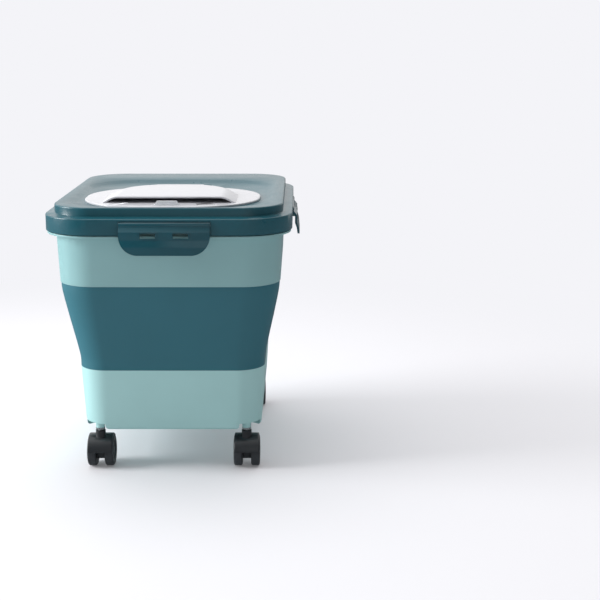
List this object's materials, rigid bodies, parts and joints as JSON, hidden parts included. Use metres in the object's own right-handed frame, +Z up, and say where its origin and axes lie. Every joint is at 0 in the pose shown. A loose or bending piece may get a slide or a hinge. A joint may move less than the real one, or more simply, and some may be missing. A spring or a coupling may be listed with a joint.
{
  "type": "collapsible pet food container",
  "caption": "Folding dry food bin on swivel casters: rigid tub and rim joined by a folding wall, clamp-on lid with side latches and a flip cover with a grip arch.",
  "frame": {"origin": "on the floor, under the middle of the body, with the container unfolded and the lid closed", "axes": "+Z up, +X to the right seen from the front, the front (thumb tab side) faces -Y"},
  "size_m": [0.3072, 0.3732, 0.3321],
  "materials": {
    "tub_plastic": "pale grey-green moulded polypropylene, fine satin",
    "band_plastic": "pale grey-green moulded polypropylene, fine satin",
    "fold_wall": "dark teal soft elastomer, satin",
    "lid_plastic": "dark teal moulded plastic, semi-gloss",
    "latch_plastic": "dark teal moulded plastic, semi-gloss",
    "cover_plastic": "white moulded plastic, semi-gloss",
    "well_plastic": "grey-green moulded plastic, matt",
    "seal": "pale silicone, matt",
    "steel": "zinc plated steel",
    "caster_plastic": "black nylon, satin",
    "wheel_plastic": "near-black hard plastic, matt"
  },
  "bodies": {
    "base": {"base_tub": "tub_plastic", "folding_wall": "fold_wall", "front_left_caster_stem": "steel", "front_right_caster_stem": "steel", "back_left_caster_stem": "steel", "back_right_caster_stem": "steel"},
    "rim": {"rim_band": "band_plastic"},
    "lid": {"lid_shell": "lid_plastic", "lid_gasket": "seal", "cover_hinge_pin": "steel", "front_latch_pin": "steel", "right_latch_pin": "steel", "back_latch_pin": "steel", "left_latch_pin": "steel"},
    "cover": {"port_cover": "cover_plastic", "grip_well": "well_plastic", "cover_seal": "seal"},
    "front_latch": {"front_latch": "latch_plastic"},
    "right_latch": {"right_latch": "latch_plastic"},
    "back_latch": {"back_latch": "latch_plastic"},
    "left_latch": {"left_latch": "latch_plastic"},
    "front_left_hood": {"front_left_caster_hood": "caster_plastic"},
    "front_left_wheels": {"front_left_caster_axle": "steel", "front_left_left_wheel": "wheel_plastic", "front_left_right_wheel": "wheel_plastic"},
    "front_right_hood": {"front_right_caster_hood": "caster_plastic"},
    "front_right_wheels": {"front_right_caster_axle": "steel", "front_right_left_wheel": "wheel_plastic", "front_right_right_wheel": "wheel_plastic"},
    "back_left_hood": {"back_left_caster_hood": "caster_plastic"},
    "back_left_wheels": {"back_left_caster_axle": "steel", "back_left_left_wheel": "wheel_plastic", "back_left_right_wheel": "wheel_plastic"},
    "back_right_hood": {"back_right_caster_hood": "caster_plastic"},
    "back_right_wheels": {"back_right_caster_axle": "steel", "back_right_left_wheel": "wheel_plastic", "back_right_right_wheel": "wheel_plastic"}
  },
  "joints": [
    {"name": "collapse", "type": "slide", "parent": "base", "child": "rim", "axis": [0, 0, 1], "range_m": [-0.098, 0], "deforming": ["folding_wall"]},
    {"name": "lid_lift", "type": "slide", "parent": "rim", "child": "lid", "axis": [0, 0, 1], "range_m": [0, 0.15]},
    {"name": "cover_flip", "type": "hinge", "parent": "lid", "child": "cover", "pos_m": [0, 0.02475, 0.325], "axis": [-1, 0, 0], "range_deg": [0, 100]},
    {"name": "front_latch_swing", "type": "hinge", "parent": "lid", "child": "front_latch", "pos_m": [0, -0.1756, 0.3063], "axis": [-1, 0, 0], "range_deg": [0, 90]},
    {"name": "right_latch_swing", "type": "hinge", "parent": "lid", "child": "right_latch", "pos_m": [0.1426, 0, 0.3063], "axis": [0, -1, 0], "range_deg": [0, 90]},
    {"name": "back_latch_swing", "type": "hinge", "parent": "lid", "child": "back_latch", "pos_m": [0, 0.1756, 0.3063], "axis": [1, 0, 0], "range_deg": [0, 90]},
    {"name": "left_latch_swing", "type": "hinge", "parent": "lid", "child": "left_latch", "pos_m": [-0.1426, 0, 0.3063], "axis": [0, 1, 0], "range_deg": [0, 90]},
    {"name": "front_left_swivel", "type": "hinge", "parent": "base", "child": "front_left_hood", "pos_m": [-0.089, -0.125, 0.044], "axis": [0, 0, 1], "continuous": true},
    {"name": "front_left_roll", "type": "hinge", "parent": "front_left_hood", "child": "front_left_wheels", "pos_m": [-0.089, -0.12, 0.019], "axis": [1, 0, 0], "continuous": true},
    {"name": "front_right_swivel", "type": "hinge", "parent": "base", "child": "front_right_hood", "pos_m": [0.089, -0.125, 0.044], "axis": [0, 0, 1], "continuous": true},
    {"name": "front_right_roll", "type": "hinge", "parent": "front_right_hood", "child": "front_right_wheels", "pos_m": [0.089, -0.12, 0.019], "axis": [1, 0, 0], "continuous": true},
    {"name": "back_left_swivel", "type": "hinge", "parent": "base", "child": "back_left_hood", "pos_m": [-0.089, 0.125, 0.044], "axis": [0, 0, 1], "continuous": true},
    {"name": "back_left_roll", "type": "hinge", "parent": "back_left_hood", "child": "back_left_wheels", "pos_m": [-0.089, 0.13, 0.019], "axis": [1, 0, 0], "continuous": true},
    {"name": "back_right_swivel", "type": "hinge", "parent": "base", "child": "back_right_hood", "pos_m": [0.089, 0.125, 0.044], "axis": [0, 0, 1], "continuous": true},
    {"name": "back_right_roll", "type": "hinge", "parent": "back_right_hood", "child": "back_right_wheels", "pos_m": [0.089, 0.13, 0.019], "axis": [1, 0, 0], "continuous": true}
  ]
}
